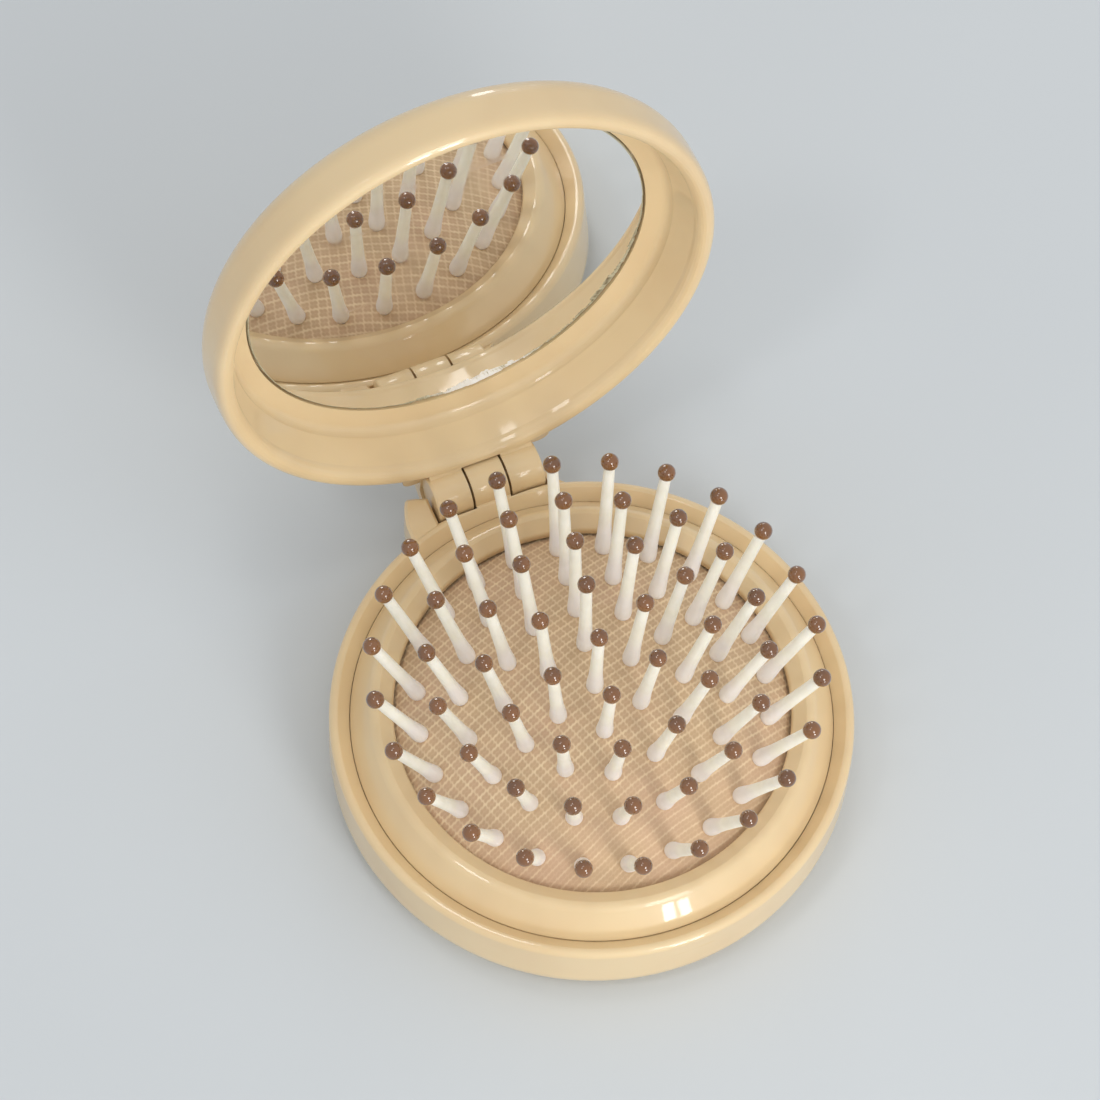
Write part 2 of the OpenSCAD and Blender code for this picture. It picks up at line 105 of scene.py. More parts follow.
# Stretches of the mirror's worn border: direction and half width in degrees from +X towards the hinge, and share
# The first stretch is ground, and the white of its flakes is partly a painted glint
GROUND_GLINT_STRETCH = ((81.0, 13.0, 1.0),)
CHIPPED_STRETCH = ((36.0, 22.0, 0.5), (100.0, 9.0, 0.3))

# How the net changes towards the front: where that starts, over what length, and how far the ribs weaken
FRONT_START = 0.008
FRONT_LENGTH = 0.012
FRONT_WEAKENING = 0.25
FRONT_CROSS_WEAKENING = 0.3

# How far the swelling round a pin spreads, and how much of the ribs it swallows
COLLAR_SPREAD = 0.00055
COLLAR_COVER = 0.8

# How finely round things are divided, and half the floor's side
PIN_SIDES = 22
MIRROR_STEPS = 1080
FLOOR_REACH = 6.0

# The soft light: where it is strongest, the facing between which it changes, and its weakest and strongest share
SKY_FRONT = (0.45, -0.87, 0.15)
SKY_FACING = (-0.6, 0.9)
SKY_SHARES = (0.76, 1.18)

# The window light: name, direction, distance and size, and its colour
WINDOW = ("window_light", (0.107, -0.831, 0.546), 0.6, (0.17, 0.2))
WINDOW_COLOUR = (1.0, 0.985, 0.96)

# Lamps whose reflections the plastic and the ball tips show: name, direction, distance, size, power
SMALL_LAMPS = (
    ("left_pane", (0.098, -0.995, 0.03), 0.63, (0.046, 0.115), 0.33),
    ("right_pane", (0.194, -0.981, 0.03), 0.63, (0.042, 0.115), 0.3),
    ("back_light", (0.42, 0.9, 0.16), 0.8, (0.17, 0.1), 0.45),
    ("ceiling_light", (-0.5, -0.1, 0.95), 0.9, (0.13, 0.13), 0.5),
    ("roof_window", (-0.07, 0.14, 0.98), 0.9, (0.09, 0.15), 0.34),
)


def paint(red, green, blue):
    """A colour as a swatch shows it, from 0 to 255, as the linear values that shaders take."""
    swatch = (value / 255 for value in (red, green, blue))
    return tuple(v / 12.92 if v <= 0.04045 else ((v + 0.055) / 1.055) ** 2.4 for v in swatch)


# Shader nodes


def add_node(tree, kind, place, **settings):
    """Adds a node of a kind at a place in the tree and sets what is given."""
    node = tree.nodes.new(kind)
    node.location = place
    for name, value in settings.items():
        setattr(node, name, value)
    return node


def start_group(name, inputs, outputs):
    """An empty shader group with these sockets, given as (name, socket type, default) and (name, socket type)."""
    group = bpy.data.node_groups.new(name, "ShaderNodeTree")
    for label, kind, default in inputs:
        socket = group.interface.new_socket(label, in_out="INPUT", socket_type=kind)
        socket.default_value = default
    for label, kind in outputs:
        group.interface.new_socket(label, in_out="OUTPUT", socket_type=kind)
    return group, add_node(group, "NodeGroupInput", (-900, 0)), add_node(group, "NodeGroupOutput", (700, 0))


def place_group(tree, group, place, **values):
    """Puts a group into a material with its own values; an underscore stands for a space in a socket's name."""
    node = add_node(tree, "ShaderNodeGroup", place, node_tree=group)
    for label, value in values.items():
        node.inputs[label.replace("_", " ")].default_value = value
    return node


def add_noise(tree, place, coordinates, scale, detail=2.0, roughness=0.5):
    """A noise texture on the given coordinates, in noise cells to the metre."""
    noise = add_node(tree, "ShaderNodeTexNoise", place)
    noise.inputs["Scale"].default_value = scale
    noise.inputs["Detail"].default_value = detail
    noise.inputs["Roughness"].default_value = roughness
    tree.links.new(coordinates, noise.inputs["Vector"])
    return noise


def add_map(tree, place, value, from_low, from_high, to_low=0.0, to_high=1.0):
    """Maps a value smoothly from one range to another."""
    node = add_node(tree, "ShaderNodeMapRange", place, interpolation_type="SMOOTHSTEP")
    for label, number in zip(("From Min", "From Max", "To Min", "To Max"), (from_low, from_high, to_low, to_high)):
        node.inputs[label].default_value = number
    tree.links.new(value, node.inputs["Value"])
    return node


def add_math(tree, place, operation, first, second):
    """A maths node whose two inputs are sockets or plain numbers."""
    node = add_node(tree, "ShaderNodeMath", place, operation=operation)
    for slot, value in zip(node.inputs, (first, second)):
        if isinstance(value, (int, float)):
            slot.default_value = value
        else:
            tree.links.new(value, slot)
    return node


def add_mix(tree, place, share, first, second, blend="MIX"):
    """Mixes two colours by a share; each is a socket or a plain value."""
    node = add_node(tree, "ShaderNodeMix", place, data_type="RGBA", blend_type=blend)
    for slot, value in ((node.inputs[0], share), (node.inputs[6], first), (node.inputs[7], second)):
        if isinstance(value, bpy.types.NodeSocket):
            tree.links.new(value, slot)
        elif isinstance(value, tuple):
            slot.default_value = (*value[:3], 1.0)
        else:
            slot.default_value = value
    return node


def build_moulded_skin():
    """Moulded plastic's face: faint clouds in its colour, uneven gloss and a soft ripple with a fine grain."""
    group, given, made = start_group(
        "Moulded Skin",
        [
            ("Colour", "NodeSocketColor", (1, 1, 1, 1)),
            ("Cloud Colour", "NodeSocketColor", (1, 1, 1, 1)),
            ("Cloud Scale", "NodeSocketFloat", 70.0),
            ("Gloss Low", "NodeSocketFloat", 0.2),
            ("Gloss High", "NodeSocketFloat", 0.3),
            ("Grain Share", "NodeSocketFloat", 0.2),
        ],
        [("Colour", "NodeSocketColor"), ("Roughness", "NodeSocketFloat"), ("Height", "NodeSocketFloat")],
    )
    where = add_node(group, "ShaderNodeTexCoord", (-900, -300)).outputs["Object"]
    clouds = add_noise(group, (-650, 200), where, 70.0, 3.0)
    group.links.new(given.outputs["Cloud Scale"], clouds.inputs["Scale"])
    cloud_share = add_map(group, (-400, 200), clouds.outputs["Fac"], 0.35, 0.7)
    colour = add_mix(
        group, (-100, 300), cloud_share.outputs[0], given.outputs["Colour"], given.outputs["Cloud Colour"]
    )
    ripple = add_noise(group, (-650, -100), where, 260.0, 1.0)
    grain = add_noise(group, (-650, -350), where, 5200.0, 2.0)
    gloss = add_node(group, "ShaderNodeMapRange", (-100, 0))
    group.links.new(ripple.outputs["Fac"], gloss.inputs["Value"])
    group.links.new(given.outputs["Gloss Low"], gloss.inputs["To Min"])
    group.links.new(given.outputs["Gloss High"], gloss.inputs["To Max"])
    fine = add_math(group, (-300, -350), "MULTIPLY", grain.outputs["Fac"], given.outputs["Grain Share"])
    height = add_math(group, (0, -250), "ADD", ripple.outputs["Fac"], fine.outputs[0])
    group.links.new(colour.outputs[2], made.inputs["Colour"])
    group.links.new(gloss.outputs[0], made.inputs["Roughness"])
    group.links.new(height.outputs[0], made.inputs["Height"])
    return group


def build_handling_marks():
    """Hairline scratches in two directions, gathered in patches, as handling leaves them."""
    group, given, made = start_group(
        "Handling Marks",
        [("Length", "NodeSocketFloat", 60.0), ("Amount", "NodeSocketFloat", 0.5)],
        [("Mask", "NodeSocketFloat"), ("Height", "NodeSocketFloat")],
    )
    where = add_node(group, "ShaderNodeTexCoord", (-1100, -200)).outputs["Object"]
    patches = add_noise(group, (-650, 350), where, 90.0, 2.0)
    patch_share = add_map(group, (-400, 350), patches.outputs["Fac"], 0.45, 0.65)
    strokes = []
    for row, turn in enumerate(((0.3, 0.2, 0.5), (1.1, 0.7, -0.8))):
        turned = add_node(group, "ShaderNodeMapping", (-900, -250 * row))
        turned.inputs["Rotation"].default_value = turn
        turned.inputs["Scale"].default_value = (1.0, 55.0, 9.0)
        group.links.new(where, turned.inputs["Vector"])
        stretched = add_noise(group, (-650, -250 * row), turned.outputs[0], 60.0, 1.0)
        group.links.new(given.outputs["Length"], stretched.inputs["Scale"])
        strokes.append(add_map(group, (-400, -250 * row), stretched.outputs["Fac"], 0.68, 0.74).outputs[0])
    both = add_math(group, (-150, 0), "MAXIMUM", *strokes)
    gathered = add_math(group, (50, 100), "MULTIPLY", both.outputs[0], patch_share.outputs[0])
    mask = add_math(group, (250, 100), "MULTIPLY", gathered.outputs[0], given.outputs["Amount"])
    depth = add_math(group, (450, -100), "MULTIPLY", mask.outputs[0], -1.0)
    group.links.new(mask.outputs[0], made.inputs["Mask"])
    group.links.new(depth.outputs[0], made.inputs["Height"])
    return group


def start_material(name):
    """A material with its Principled shader; returns the material, its tree and the shader."""
    material = bpy.data.materials.new(name)
    material.use_nodes = True
    tree = material.node_tree
    return material, tree, tree.nodes["Principled BSDF"]


def set_shader(shader, **values):
    """Sets plain values on a shader's sockets; an underscore stands for a space."""
    for label, value in values.items():
        slot = shader.inputs[label.replace("_", " ")]
        slot.default_value = (*value, 1.0) if isinstance(value, tuple) and len(slot.default_value) == 4 else value


def raise_bump(tree, shader, height, distance, strength=1.0):
    """Feeds a height into the shader's normal."""
    bump = add_node(tree, "ShaderNodeBump", (-300, -400))
    bump.inputs["Distance"].default_value = distance
    bump.inputs["Strength"].default_value = strength
    tree.links.new(height, bump.inputs["Height"])
    tree.links.new(bump.outputs[0], shader.inputs["Normal"])


def build_case_plastic(settings, skin, marks):
    """Glossy moulded plastic with faint clouds and hairlines."""
    material, tree, shader = start_material("case_plastic")
    face = place_group(
        tree,
        skin,
        (-900, 200),
        Colour=(*settings.colour, 1.0),
        Cloud_Colour=(*settings.cloud_colour, 1.0),
        Cloud_Scale=55.0,
        Gloss_Low=settings.roughness - 0.05,
        Gloss_High=settings.roughness + 0.07,
        Grain_Share=0.12,
    )
    worn = place_group(tree, marks, (-900, -200), Length=42.0, Amount=0.6)
    rubbed = add_math(tree, (-600, 0), "MULTIPLY", worn.outputs["Mask"], 0.25)
    roughness = add_math(tree, (-400, 0), "ADD", face.outputs["Roughness"], rubbed.outputs[0])
    relief = add_math(tree, (-600, -350), "ADD", face.outputs["Height"], worn.outputs["Height"])
    tree.links.new(face.outputs["Colour"], shader.inputs["Base Color"])
    tree.links.new(roughness.outputs[0], shader.inputs["Roughness"])
    raise_bump(tree, shader, relief.outputs[0], 0.00002, 0.5)
    set_shader(
        shader,
        Coat_Weight=settings.coat,
        Coat_Roughness=0.06,
        Subsurface_Weight=0.08,
        Subsurface_Radius=(0.9, 0.55, 0.3),
        Subsurface_Scale=0.0025,
        IOR=1.5,
    )
    return material


def build_nylon(settings, skin):
    """Milky pin nylon, a little see-through to the light, with painted shade that makes it cooler towards the root."""
    material, tree, shader = start_material("pin_nylon")
    rise = add_node(tree, "ShaderNodeAttribute", (-1150, 0), attribute_name="rise")
    upper = add_map(tree, (-900, 0), rise.outputs["Fac"], 0.22, 0.5)
    face = place_group(
        tree,
        skin,
        (-900, 300),
        Colour=(1.0, 1.0, 1.0, 1.0),
        Cloud_Colour=(0.95, 0.945, 0.93, 1.0),
        Cloud_Scale=400.0,
        Gloss_Low=settings.nylon_roughness - 0.05,
        Gloss_High=settings.nylon_roughness + 0.08,
        Grain_Share=0.3,
    )
    # Painted shade: the lower part of each pin takes the cooler root colour, the upper part the lit nylon colour
    shade = add_mix(tree, (-650, 0), upper.outputs[0], tuple(settings.root_shade_colour), tuple(settings.nylon_colour))
    colour = add_mix(tree, (-400, 200), 1.0, shade.outputs[2], face.outputs["Colour"], "MULTIPLY")
    tree.links.new(colour.outputs[2], shader.inputs["Base Color"])
    tree.links.new(face.outputs["Roughness"], shader.inputs["Roughness"])
    raise_bump(tree, shader, face.outputs["Height"], 0.00002, 0.4)
    set_shader(
        shader,
        Subsurface_Weight=0.35,
        Subsurface_Radius=(1.0, 0.9, 0.75),
        Subsurface_Scale=0.0012,
        IOR=1.53,
    )
    return material


def build_ball_resin(settings, skin):
    """Glossy brown resin of the ball tips, with darker clouds in it."""
    material, tree, shader = start_material("ball_tip")
    face = place_group(
        tree,
        skin,
        (-700, 200),
        Colour=(*settings.ball_colour, 1.0),
        Cloud_Colour=(*settings.ball_cloud_colour, 1.0),
        Cloud_Scale=260.0,
        Gloss_Low=0.06,
        Gloss_High=0.14,
        Grain_Share=0.1,
    )
    tree.links.new(face.outputs["Colour"], shader.inputs["Base Color"])
    tree.links.new(face.outputs["Roughness"], shader.inputs["Roughness"])
    raise_bump(tree, shader, face.outputs["Height"], 0.00001, 0.3)
    set_shader(shader, Coat_Weight=1.0, Coat_Roughness=0.03, Coat_IOR=1.6, IOR=1.5)
    return material


def build_net_rubber(settings, skin):
    """Matt rubber whose raised net is paler than the meshes between."""
    material, tree, shader = start_material("cushion_rubber")
    face = place_group(
        tree,
        skin,
        (-1100, 300),
        Colour=(*settings.rubber_colour, 1.0),
        Cloud_Colour=(*settings.rubber_cloud_colour, 1.0),
        Cloud_Scale=85.0,
        Gloss_Low=0.55,
        Gloss_High=0.7,
        Grain_Share=1.0,
    )
    rib = add_node(tree, "ShaderNodeAttribute", (-1100, -100), attribute_name="rib")
    crest = add_map(tree, (-850, -100), rib.outputs["Fac"], 0.3, 0.95)
    broken = add_noise(
        tree, (-1100, -350), add_node(tree, "ShaderNodeTexCoord", (-1300, -350)).outputs["Object"], 900.0, 3.0
    )
    patchy = add_map(tree, (-850, -350), broken.outputs["Fac"], 0.3, 0.7, 0.55, 1.0)
    share = add_math(tree, (-600, -200), "MULTIPLY", crest.outputs[0], patchy.outputs[0])
    # The net's crests take the paler rib colour, in patches
    colour = add_mix(tree, (-350, 200), share.outputs[0], face.outputs["Colour"], tuple(settings.rib_colour))
    tree.links.new(colour.outputs[2], shader.inputs["Base Color"])
    tree.links.new(face.outputs["Roughness"], shader.inputs["Roughness"])
    raise_bump(tree, shader, face.outputs["Height"], 0.00004, 0.6)
    set_shader(shader, Sheen_Weight=0.12, Sheen_Roughness=0.5, IOR=1.5)
    return material


def build_mirror_glass(settings, marks):
    """Silvered glass with faint wiping marks."""
    material, tree, shader = start_material("mirror_glass")
    wiped = place_group(tree, marks, (-900, 0), Length=30.0, Amount=1.0)
    clouds = add_noise(
        tree, (-900, -250), add_node(tree, "ShaderNodeTexCoord", (-1100, -250)).outputs["Object"], 110.0, 3.0
    )
    smear = add_map(tree, (-650, -250), clouds.outputs["Fac"], 0.5, 0.75, 0.012, 0.05)
    hairlines = add_math(tree, (-650, 0), "MULTIPLY", wiped.outputs["Mask"], 0.12)
    roughness = add_math(tree, (-400, 0), "ADD", hairlines.outputs[0], smear.outputs[0])
    tree.links.new(roughness.outputs[0], shader.inputs["Roughness"])
    set_shader(shader, Base_Color=tuple(settings.mirror_colour), Metallic=1.0)
    return material


def build_broken_silver(settings):
    """The mirror's broken border: dark where the silver is gone, greenish at the cut, white where it is ground, that
    white partly a painted glint.
    """
    material, tree, shader = start_material("broken_silver")
    tone = add_node(tree, "ShaderNodeAttribute", (-900, 0), attribute_name="ground_glint")
    ramp = add_node(tree, "ShaderNodeValToRGB", (-600, 150))
    # The white stop is ground glass and also a painted glint
    stops = ((0.0, settings.burnt_colour), (0.35, settings.cut_colour), (0.75, settings.ground_glint_colour))
    while len(ramp.color_ramp.elements) < len(stops):
        ramp.color_ramp.elements.new(1.0)
    for stop, (place, colour) in zip(ramp.color_ramp.elements, stops):
        stop.position = place
        stop.color = (*colour, 1.0)
    rough = add_map(tree, (-600, -150), tone.outputs["Fac"], 0.0, 1.0, 0.2, 0.4)
    tree.links.new(tone.outputs["Fac"], ramp.inputs[0])
    tree.links.new(ramp.outputs[0], shader.inputs["Base Color"])
    tree.links.new(rough.outputs[0], shader.inputs["Roughness"])
    set_shader(shader, IOR=1.45)
    return material


def build_drawn_steel(marks):
    """Bright drawn wire with fine lines."""
    material, tree, shader = start_material("hinge_steel")
    drawn = place_group(tree, marks, (-700, 0), Length=150.0, Amount=1.0)
    rough = add_map(tree, (-450, 0), drawn.outputs["Mask"], 0.0, 1.0, 0.25, 0.5)
    tree.links.new(rough.outputs[0], shader.inputs["Roughness"])
    raise_bump(tree, shader, drawn.outputs["Height"], 0.00003)
    set_shader(shader, Base_Color=paint(196, 198, 200), Metallic=1.0)
    return material


def build_white_film(skin):
    """The double-sided film behind the mirror."""
    material, tree, shader = start_material("film")
    face = place_group(
        tree,
        skin,
        (-600, 0),
        Colour=(0.8, 0.79, 0.76, 1.0),
        Cloud_Colour=(0.7, 0.69, 0.66, 1.0),
        Gloss_Low=0.6,
        Gloss_High=0.75,
    )
    tree.links.new(face.outputs["Colour"], shader.inputs["Base Color"])
    tree.links.new(face.outputs["Roughness"], shader.inputs["Roughness"])
    raise_bump(tree, shader, face.outputs["Height"], 0.00005)
    return material


# Sizes and colours that a user may change


def colour_setting(name, description, swatch):
    """A colour, given as a swatch shows it, from 0 to 255."""
    return bpy.props.FloatVectorProperty(
        name=name, description=description, subtype="COLOR", min=0, max=1, default=paint(*swatch)
    )


def share_setting(name, description, default, least=0.0, most=1.0):
    """A share or a roughness."""
    return bpy.props.FloatProperty(
        name=name, description=description, subtype="FACTOR", min=least, max=most, default=default
    )


def length_setting(name, description, default, least=0.0):
    """A length in metres."""
    return bpy.props.FloatProperty(
        name=name, description=description, unit="LENGTH", precision=5, min=least, default=default
    )


def angle_setting(name, description, degrees):
    """An angle, given in degrees."""
    return bpy.props.FloatProperty(
        name=name, description=description, subtype="ANGLE", default=math.radians(degrees)
    )


class CasePlastic(bpy.types.PropertyGroup):
    """The plastic of the base, the cushion ring, the lid and the push button."""

    colour: colour_setting("Colour", "Plastic's own colour", (229, 203, 158))
    cloud_colour: colour_setting("Cloud Colour", "Colour of the faint clouds in the plastic", (223, 195, 150))
    roughness: share_setting("Roughness", "Roughness of the moulded face", 0.4, 0.06, 0.9)
    coat: share_setting("Polish", "Strength of the mirror-like polish", 0.7)


class RubberCushion(bpy.types.PropertyGroup):
    """The domed rubber cushion and the net embossed in it."""

    net_pitch: length_setting("Net Pitch", "Distance between two ribs", 0.00062, 0.0004)
    second_ribs: share_setting("Second Ribs", "Strength of every other rib", 0.5)
    front_ribs: share_setting("Front Ribs", "Strength of every other rib at the front", 0.52)
    cross_ribs: share_setting("Cross Ribs", "Strength of the ribs across", 0.78)
    rib_height: length_setting("Rib Height", "Height of the stronger ribs", 0.0001)
    net_turn: angle_setting("Net Turn", "Direction of the stronger ribs", 17.3)
    drift: length_setting("Drift", "How far the ribs wander", 0.0001)
    collar_height: length_setting("Collar Height", "Height of the rubber that swells round each pin", 0.00011)
    rubber_colour: colour_setting("Rubber Colour", "Colour of the meshes", (204, 173, 136))
    rubber_cloud_colour: colour_setting(
        "Rubber Cloud Colour", "Colour of the rosier clouds in the rubber", (207, 172, 140)
    )
    rib_colour: colour_setting("Rib Colour", "Colour of the ribs' crests", (236, 212, 174))


class PinFinish(bpy.types.PropertyGroup):
    """The nylon of the pins and the resin of their ball tips."""

    nylon_colour: colour_setting("Nylon Colour", "Colour of a pin's upper part", (254, 251, 238))
    # Painted shade: the cooler, shaded copy of the nylon colour that each pin's lower part takes
    root_shade_colour: colour_setting("Root Shade Colour", "Colour of a pin's root", (245, 241, 238))
    nylon_roughness: share_setting("Nylon Roughness", "Roughness of the nylon", 0.38, 0.06, 0.9)
    ball_colour: colour_setting("Ball Colour", "Colour of the ball tips", (128, 80, 34))
    ball_cloud_colour: colour_setting(
        "Ball Cloud Colour", "Colour of the darker clouds in the ball tips", (108, 66, 28)
    )


class LidMirror(bpy.types.PropertyGroup):
    """The round mirror and its chipped border."""

    mirror_colour: colour_setting("Mirror Colour", "Tint of the silvering", (246, 246, 245))
    burnt_colour: colour_setting("Burnt Colour", "Colour of the blackened flakes", (84, 66, 42))
    cut_colour: colour_setting("Cut Colour", "Colour of the cut border", (186, 182, 156))
    # White of the ground flakes, partly a painted glint
    ground_glint_colour: colour_setting("Ground Glint Colour", "Colour of the ground flakes", (250, 251, 249))
    border: length_setting("Border", "Least width of the rough border", 0.00022)
    chip_reach: length_setting("Chip Reach", "How far the deepest chips reach in", 0.0021)
    chip_depth: length_setting("Chip Depth", "How deep the chips go", 0.00035)
    chip_seed: bpy.props.IntProperty(name="Chip Seed", description="Picks another set of chips", min=0, default=7)


class Studio(bpy.types.PropertyGroup):
    """The camera, the lamps and the floor."""

    floor_colour: colour_setting("Floor Colour", "Colour of the floor", (207, 212, 215))
    camera_turn: angle_setting("Camera Turn", "Turn of the camera round the brush", -26.6)
    camera_rise: angle_setting("Camera Rise", "Angle of the camera above the floor", 63.53)
    camera_roll: angle_setting("Camera Roll", "Roll of the camera", 4.26)
    camera_distance: length_setting("Camera Distance", "Distance of the camera", 0.84076)
    focal_length: bpy.props.FloatProperty(
        name="Focal Length", description="Focal length of the lens, in millimetres", default=198.64
    )
    window_power: bpy.props.FloatProperty(
        name="Window Power", description="Power of the window light", unit="POWER", default=0.85
    )
    sky_strength: bpy.props.FloatProperty(
        name="Sky Strength", description="Strength of the even light from all round", min=0, default=0.8
    )


def clothe(names, material):
    """Gives a material to the frame's nodes of these names."""
    for name in names:
        mesh = frame["nodes"][name].data
        mesh.materials.clear()
        mesh.materials.append(material)


def shared_group(name, build):
    """A shader group that is built once and then shared."""
    return bpy.data.node_groups.get(name) or build()


class HAIRBRUSH_OT_case(bpy.types.Operator):
    """Gives the base, the cushion ring, the lid and the push button their moulded plastic"""

    bl_idname = "hairbrush.case"
    bl_label = "Case Plastic"

    def execute(self, context):
        plastic = build_case_plastic(
            context.scene.hairbrush_case,
            shared_group("Moulded Skin", build_moulded_skin),
            shared_group("Handling Marks", build_handling_marks),
        )
        clothe(("base_shell", "cushion_ring", "lid_shell", "push_button"), plastic)
        return {"FINISHED"}


def pin_places():
    """Root and direction of each pin."""
    places = []
    for ring, count in enumerate(PIN_RING_COUNTS):
        radius = FIRST_RING_RADIUS + RING_PITCH * (ring - 1) if ring else 0.0
        height = DOME_CENTRE_Z + math.sqrt(DOME_RADIUS**2 - radius**2)
        lean = LEAN_SHARE * math.asin(radius / DOME_RADIUS)
        for k in range(count):
            turn = PIN_TURN + 2 * math.pi * k / count
            across = np.array((math.cos(turn), math.sin(turn), 0.0))
            places.append((across * radius + (0, 0, height), across * math.sin(lean) + (0, 0, math.cos(lean))))
    return places


def build_pins_mesh(name, places):
    """Pins turned from their outline, each at its place, with their height from 0 at the root to 1 at the ball."""
    turns = np.arange(PIN_SIDES) * 2 * math.pi / PIN_SIDES
    points, faces, rises = [], [], []
    for root, lean in places:
        across = np.cross(lean, (0.31, 0.95, 0.0))
        across /= np.linalg.norm(across)
        aside = np.cross(lean, across)
        rings = []
        for radius, height in PIN_OUTLINE:
            middle = root + lean * (height / 1000)
            count = PIN_SIDES if radius else 1
            rings.append(range(len(points), len(points) + count))
            spokes = np.outer(np.cos(turns), across) + np.outer(np.sin(turns), aside)
            points += (middle + spokes[:count] * (radius / 1000)).tolist()
            rises += [max(height / 1000 / PIN_LENGTH, 0.0)] * count
        for low, high in zip(rings, rings[1:]):
            for k in range(PIN_SIDES):
                a, b = low[k % len(low)], low[(k + 1) % len(low)]
                c, d = high[(k + 1) % len(high)], high[k % len(high)]
                faces.append(tuple(dict.fromkeys((a, b, c, d))))
    mesh = bpy.data.meshes.new(name)
    mesh.from_pydata(points, [], faces)
    mesh.attributes.new("rise", "FLOAT", "POINT").data.foreach_set("value", rises)
    mesh.validate()
    mesh.shade_smooth()
    mesh.set_sharp_from_angle(angle=math.radians(50))
    return mesh


def body_of(node):
    """The body of the frame that a node rides on."""
    bodies = frame["record"]["behaviour"]["bodies"]
    return next(body for body, nodes in bodies.items() if node in nodes)


class HAIRBRUSH_OT_pins(bpy.types.Operator):
    """Builds the nylon pins, thickened towards their roots, and gives the ball tips their resin"""

    bl_idname = "hairbrush.pins"
    bl_label = "Pins and Ball Tips"

    def execute(self, context):
        settings = context.scene.hairbrush_pins
        skin = shared_group("Moulded Skin", build_moulded_skin)
        nylon = build_nylon(settings, skin)
        places = pin_places()
        for stem, first, size, number in PIN_NODES:
            for k in range(number):
                node = stem if number == 1 else f"{stem}{k + 1}"
                start = first + k * size
                name = node.replace("pins", "nylon_pins")
                pins = bpy.data.objects.new(name, build_pins_mesh(name, places[start : start + size]))
                context.scene.collection.objects.link(pins)
                pins.data.materials.append(nylon)
                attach(pins, body_of(node))
                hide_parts(node)
        clothe([name for name in frame["nodes"] if name.startswith("tips_")], build_ball_resin(settings, skin))
        return {"FINISHED"}


def net_stations(reach, pitch):
    """Places across the net's ribs: crests with valleys between, and which crests are the fainter, second ones."""
    count = math.ceil(reach / pitch) + 1
    steps = np.arange(-2 * count, 2 * count + 1)
    return steps * pitch / 2, np.where(steps % 2, -0.1, 1.0), steps % 4 == 2


def onto_dome(points):
    """Lifts points onto the dome's outer face, keeping where they are seen from above."""
    lifted = points.copy()
    lifted[:, 2] = DOME_CENTRE_Z + np.sqrt(DOME_RADIUS**2 - (points[:, :2] ** 2).sum(1))
    return lifted


def lay_net(settings):
    """The dome's outer face as (points, quads, rib heights): a net turned to its direction and cut to the dome."""
    stations, crests, second = net_stations(DOME_EDGE_RADIUS, settings.net_pitch)
    count = len(stations)
    along, across = (axis.ravel() for axis in np.meshgrid(stations, stations, indexing="ij"))
    c, s = math.cos(settings.net_turn), math.sin(settings.net_turn)
    x, y = along * c - across * s, along * s + across * c
    points = np.stack(
        (
            x + settings.drift * (np.sin(330 * y + 0.7) + 0.6 * np.sin(870 * y - 410 * x)),
            y + settings.drift * (np.sin(290 * x + 2.1) + 0.6 * np.sin(790 * x + 350 * y)),
            np.zeros_like(x),
        ),
        axis=1,
    )
    towards_front = np.clip((-points[:, 1] - FRONT_START) / FRONT_LENGTH, 0, 1)
    first = 1.0 - FRONT_WEAKENING * towards_front
    faint = settings.second_ribs + (settings.front_ribs - settings.second_ribs) * towards_front
    weak, strong = (
        crest.ravel() * np.where(other.ravel(), faint, first)
        for crest, other in zip(np.meshgrid(crests, crests, indexing="ij"), np.meshgrid(second, second, indexing="ij"))
    )
    ribs = np.maximum(strong, settings.cross_ribs * (1.0 - FRONT_CROSS_WEAKENING * towards_front) * weak)
    radius = np.hypot(points[:, 0], points[:, 1])
    outside = radius > DOME_EDGE_RADIUS
    points[outside, :2] *= (DOME_EDGE_RADIUS / radius[outside])[:, None]
    points = onto_dome(points)
    collar = np.zeros(len(points))
    in_hole = np.zeros(len(points), int)
    for number, (root, lean) in enumerate(pin_places(), start=1):
        from_root = points - root
        aside = from_root - np.outer(from_root @ lean, lean)
        distance = np.linalg.norm(aside, axis=1)
        hit = distance < NECK_HOLE_RADIUS
        points[hit] = root + aside[hit] * (NECK_HOLE_RADIUS / np.maximum(distance[hit], 1e-7))[:, None]
        in_hole[hit] = number
        collar = np.maximum(collar, np.exp(-((np.maximum(distance - NECK_HOLE_RADIUS, 0) / COLLAR_SPREAD) ** 2)))
    points = onto_dome(points)
    index = np.arange(count * count).reshape(count, count)
    quads = np.stack(
        (index[:-1, :-1].ravel(), index[1:, :-1].ravel(), index[1:, 1:].ravel(), index[:-1, 1:].ravel()), axis=1
    )
    dropped = outside[quads].all(1) | (in_hole[quads] > 0).all(1)
    quads = quads[~dropped]
    used, flat = np.unique(quads, return_inverse=True)
    height = settings.rib_height * ribs * (1 - COLLAR_COVER * collar) + settings.collar_height * collar
    height[outside] = 0.0
    outward = points - (0, 0, DOME_CENTRE_Z)
    points += outward / DOME_RADIUS * height[:, None]
    return points[used], flat.reshape(-1, 4), np.clip(ribs, 0, 1)[used]


def open_edges(quads):
    """The edges that only one quad has, each in that quad's direction."""
    edges = np.concatenate([np.stack((quads[:, i], quads[:, (i + 1) % 4]), axis=1) for i in range(4)])
    known = {tuple(edge) for edge in edges.tolist()}
    return [(a, b) for a, b in known if (b, a) not in known and a != b]


